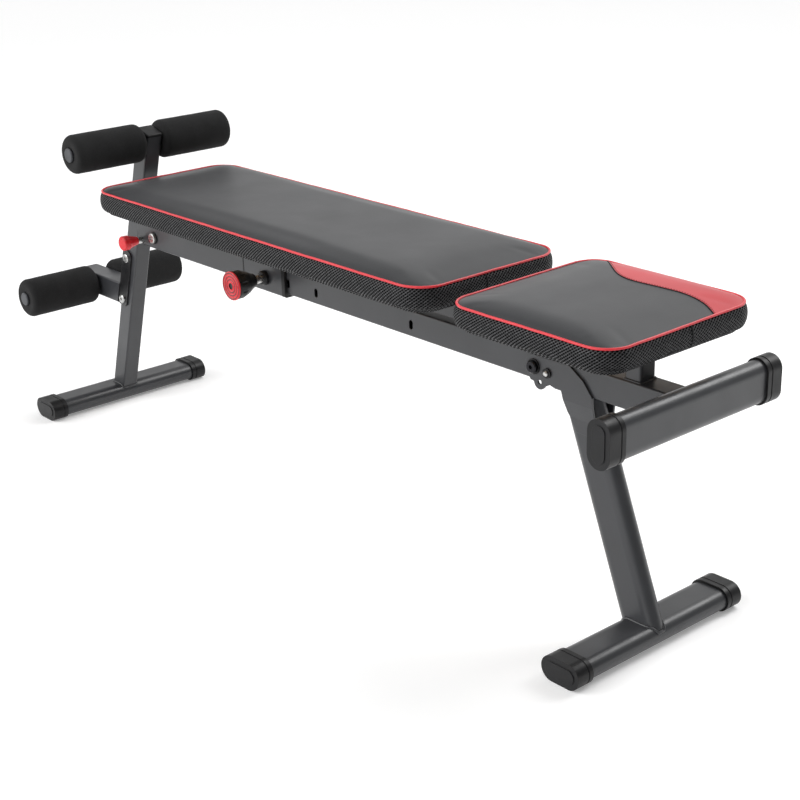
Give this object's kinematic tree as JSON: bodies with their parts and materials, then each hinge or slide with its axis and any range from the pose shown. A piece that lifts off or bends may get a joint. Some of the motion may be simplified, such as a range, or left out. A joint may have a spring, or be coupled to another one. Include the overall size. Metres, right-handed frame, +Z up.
{
  "type": "decline sit up bench",
  "caption": "Folding padded sit-up bench on a square beam, with a hinged backrest, foam ankle rollers, two fold-under legs and pull pins.",
  "frame": {"origin": "on the floor, under the middle of the bench's bounding box", "axes": "+X along the bench towards the seat and cross bar, +Y across it to the side away from the pull pins, +Z up"},
  "size_m": [1.468, 0.3374, 0.5498],
  "materials": {
    "black_frame_paint": "semi-gloss charcoal powder coat",
    "black_plastic": "satin moulded plastic",
    "grey_plug": "satin grey plastic",
    "red_plastic": "glossy red",
    "zinc_steel": "zinc-plated steel",
    "black_vinyl": "soft matte vinyl with a mesh side band",
    "plywood": "raw plywood",
    "rest_rubber": "moulded rubber",
    "black_foam": "closed-cell foam"
  },
  "bodies": {
    "frame": {"main_beam": "black_frame_paint", "cross_tube": "black_frame_paint", "cross_cap_near": "black_plastic", "cross_cap_far": "black_plastic", "seat_support_front": "black_frame_paint", "seat_support_rear": "black_frame_paint", "seat_board": "plywood", "seat_cushion": "black_vinyl", "backrest_rest": "rest_rubber", "backrest_lugs": "black_frame_paint", "pivot_bolts": "zinc_steel", "pivot_nuts": "zinc_steel", "pivot_washers": "black_plastic", "front_lock_barrel": "zinc_steel"},
    "front_post": {"front_post_tube": "black_frame_paint", "front_post_cap": "black_plastic", "front_cheeks": "black_frame_paint", "front_hinge_spacer": "black_frame_paint", "front_foot_tube": "black_frame_paint", "front_foot_cap_near": "black_plastic", "front_foot_cap_far": "black_plastic", "arm_channel": "black_frame_paint", "arm_bolts": "zinc_steel", "arm_nuts": "zinc_steel", "lower_arm_tube": "black_frame_paint", "lower_arm_cap": "black_plastic", "upper_axle": "black_frame_paint", "lower_axle": "black_frame_paint", "axle_plugs": "grey_plug"},
    "upper_roller_near": {"upper_foam_near": "black_foam"},
    "upper_roller_far": {"upper_foam_far": "black_foam"},
    "lower_roller_near": {"lower_foam_near": "black_foam"},
    "lower_roller_far": {"lower_foam_far": "black_foam"},
    "rear_leg": {"rear_leg_tube": "black_frame_paint", "rear_brackets": "black_frame_paint", "rear_foot_tube": "black_frame_paint", "rear_foot_cap_near": "black_plastic", "rear_foot_cap_far": "black_plastic", "rear_lock_bush": "black_plastic"},
    "rear_lock": {"rear_lock_pin": "zinc_steel"},
    "front_lock": {"front_lock_knob": "red_plastic", "front_lock_pin": "zinc_steel"},
    "backrest": {"backrest_cushion": "black_vinyl", "backrest_board": "plywood", "backrest_rails": "black_frame_paint", "backrest_screws": "zinc_steel", "strut_rod": "zinc_steel"},
    "strut": {"strut_tube": "black_frame_paint", "strut_eyes": "black_frame_paint"},
    "sleeve": {"sleeve_tube": "black_frame_paint", "sleeve_liner_front": "black_plastic", "sleeve_collar": "black_plastic", "sleeve_lugs": "black_frame_paint", "sleeve_lug_studs": "zinc_steel", "adjuster_boss": "black_plastic", "adjuster_barrel": "zinc_steel", "adjuster_spring": "zinc_steel"},
    "adjuster": {"adjuster_knob": "black_plastic", "adjuster_disc": "red_plastic", "adjuster_pin": "zinc_steel"}
  },
  "joints": [
    {"name": "front_post_fold", "type": "hinge", "parent": "frame", "child": "front_post", "pos_m": [-0.4589, 0, 0.3515], "axis": [0, -1, 0], "range_deg": [0, 107]},
    {"name": "rear_leg_fold", "type": "hinge", "parent": "frame", "child": "rear_leg", "pos_m": [0.4711, 0, 0.3515], "axis": [0, 1, 0], "range_deg": [0, 105]},
    {"name": "backrest_incline", "type": "hinge", "parent": "frame", "child": "backrest", "pos_m": [0.3491, 0, 0.395], "axis": [0, 1, 0], "range_deg": [0, 74.2]},
    {"name": "strut_swing", "type": "hinge", "parent": "backrest", "child": "strut", "pos_m": [0.1106, 0, 0.395], "axis": [0, -1, 0], "range_deg": [0, 148.5]},
    {"name": "sleeve_slide", "type": "slide", "parent": "frame", "child": "sleeve", "axis": [1, 0, 0], "range_m": [0, 0.348]},
    {"name": "adjuster_pull", "type": "slide", "parent": "sleeve", "child": "adjuster", "axis": [0, -1, 0], "range_m": [0, 0.012], "stiffness_N_per_m": 800},
    {"name": "front_lock_pull", "type": "slide", "parent": "frame", "child": "front_lock", "axis": [0, -1, 0], "range_m": [0, 0.012], "stiffness_N_per_m": 600},
    {"name": "rear_lock_pull", "type": "slide", "parent": "rear_leg", "child": "rear_lock", "axis": [0, -1, 0], "range_m": [0, 0.006], "stiffness_N_per_m": 400},
    {"name": "upper_roller_near_turn", "type": "hinge", "parent": "front_post", "child": "upper_roller_near", "pos_m": [-0.48324, -0.087, 0.51676], "axis": [0, 1, 0], "continuous": true},
    {"name": "upper_roller_far_turn", "type": "hinge", "parent": "front_post", "child": "upper_roller_far", "pos_m": [-0.48324, 0.087, 0.51676], "axis": [0, 1, 0], "continuous": true},
    {"name": "lower_roller_near_turn", "type": "hinge", "parent": "front_post", "child": "lower_roller_near", "pos_m": [-0.68425, -0.092, 0.222], "axis": [0, 1, 0], "continuous": true},
    {"name": "lower_roller_far_turn", "type": "hinge", "parent": "front_post", "child": "lower_roller_far", "pos_m": [-0.68425, 0.092, 0.222], "axis": [0, 1, 0], "continuous": true}
  ],
  "couplings": [
    {"joint": "strut_swing", "follows": "backrest_incline", "ratio": 2},
    {"joint": "sleeve_slide", "follows": "backrest_incline", "m_per_rad": 0.26802}
  ]
}
